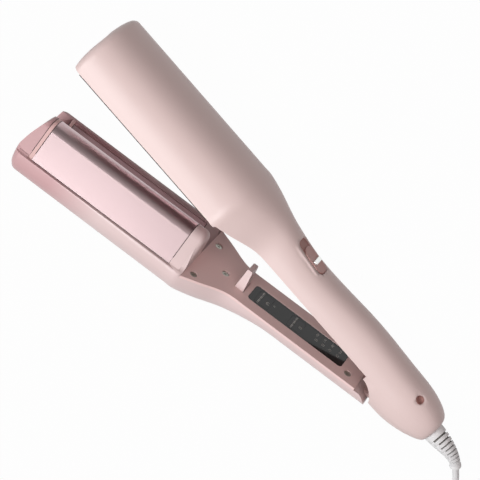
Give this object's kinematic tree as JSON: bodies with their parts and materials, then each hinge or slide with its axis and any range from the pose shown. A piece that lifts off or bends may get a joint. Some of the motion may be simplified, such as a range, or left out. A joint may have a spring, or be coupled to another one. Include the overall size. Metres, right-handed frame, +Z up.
{
  "type": "hair waver",
  "caption": "Two-armed hair waver with deep wave-shaped heated jaws, a sprung hinge, a lock slider, a display panel with keys and a mains lead.",
  "frame": {"origin": "on the surface it lies on, under the middle of the bounding box of the tool without its lead and plug", "axes": "+X runs along the fixed arm to the end where the lead leaves, +Y from the swinging arm across to the fixed arm, +Z up; the tool lies open on its side"},
  "size_m": [0.3706, 0.1829, 0.0687],
  "materials": {
    "shell_pink": "fine matt moulded ABS",
    "cover_pink": "matt moulded ABS, a shade darker",
    "plate_rose": "satin rose coat on aluminium",
    "heat_plastic": "matt heat-proof nylon",
    "heater": "dull",
    "panel_black": "gloss black acrylic",
    "frame_black": "matt",
    "board_green": "printed circuit board",
    "switch_grey": "matt",
    "lamp_white": "clear",
    "screw_steel": "zinc plated",
    "spring_steel": "drawn wire",
    "chrome": "polished",
    "relief_grey": "soft PVC",
    "cord_grey": "soft PVC",
    "tie_black": "soft",
    "pin_brass": "nickel plated"
  },
  "bodies": {
    "main_body": {"upper_shell": "shell_pink", "upper_inner_cover": "cover_pink", "upper_bezel": "heat_plastic", "upper_heating_plate": "plate_rose", "upper_plate_tray": "heat_plastic", "upper_heater": "heater", "upper_cover_screws": "screw_steel", "rear_cover": "shell_pink", "hinge_pin": "spring_steel", "hinge_washers": "switch_grey", "opening_spring": "spring_steel", "power_board": "board_green", "strain_relief": "relief_grey", "cord_tube": "cord_grey", "cord_coil": "cord_grey", "cord_tie": "tie_black", "plug_body": "relief_grey", "plug_pins": "pin_brass"},
    "lower_arm": {"lower_shell": "shell_pink", "lower_inner_cover": "cover_pink", "lower_bezel": "heat_plastic", "lower_heating_plate": "plate_rose", "lower_plate_tray": "heat_plastic", "lower_heater": "heater", "latch_hook": "cover_pink", "lower_cover_screws": "screw_steel", "display_window": "panel_black", "display_frame": "frame_black", "control_board": "board_green", "tact_switches": "switch_grey", "indicator_lamps": "lamp_white", "hinge_fork": "cover_pink"},
    "lock": {"lock_slider": "shell_pink", "slider_bar": "chrome", "lock_latch": "cover_pink"},
    "power_key": {"power_key": "panel_black"},
    "temperature_key": {"temperature_key": "panel_black"}
  },
  "joints": [
    {"name": "arm_hinge", "type": "hinge", "parent": "main_body", "child": "lower_arm", "pos_m": [0.11551, 0.04088, 0.01544], "axis": [-0.0864, -0.0166, -0.9961], "range_deg": [0, 13.8], "stiffness_Nm_per_rad": 0.6, "springref_deg": -20.05, "deforming": ["opening_spring"]},
    {"name": "lock_slide", "type": "slide", "parent": "main_body", "child": "lock", "axis": [-0.9897, 0.1159, 0.0839], "range_m": [0, 0.005]},
    {"name": "power_key_press", "type": "slide", "parent": "lower_arm", "child": "power_key", "axis": [0.2224, -0.9614, -0.1619], "range_m": [0, 0.0006], "stiffness_N_per_m": 1500, "springref_m": -0.0003},
    {"name": "temperature_key_press", "type": "slide", "parent": "lower_arm", "child": "temperature_key", "axis": [0.2224, -0.9614, -0.1619], "range_m": [0, 0.0006], "stiffness_N_per_m": 1500, "springref_m": -0.0003}
  ]
}
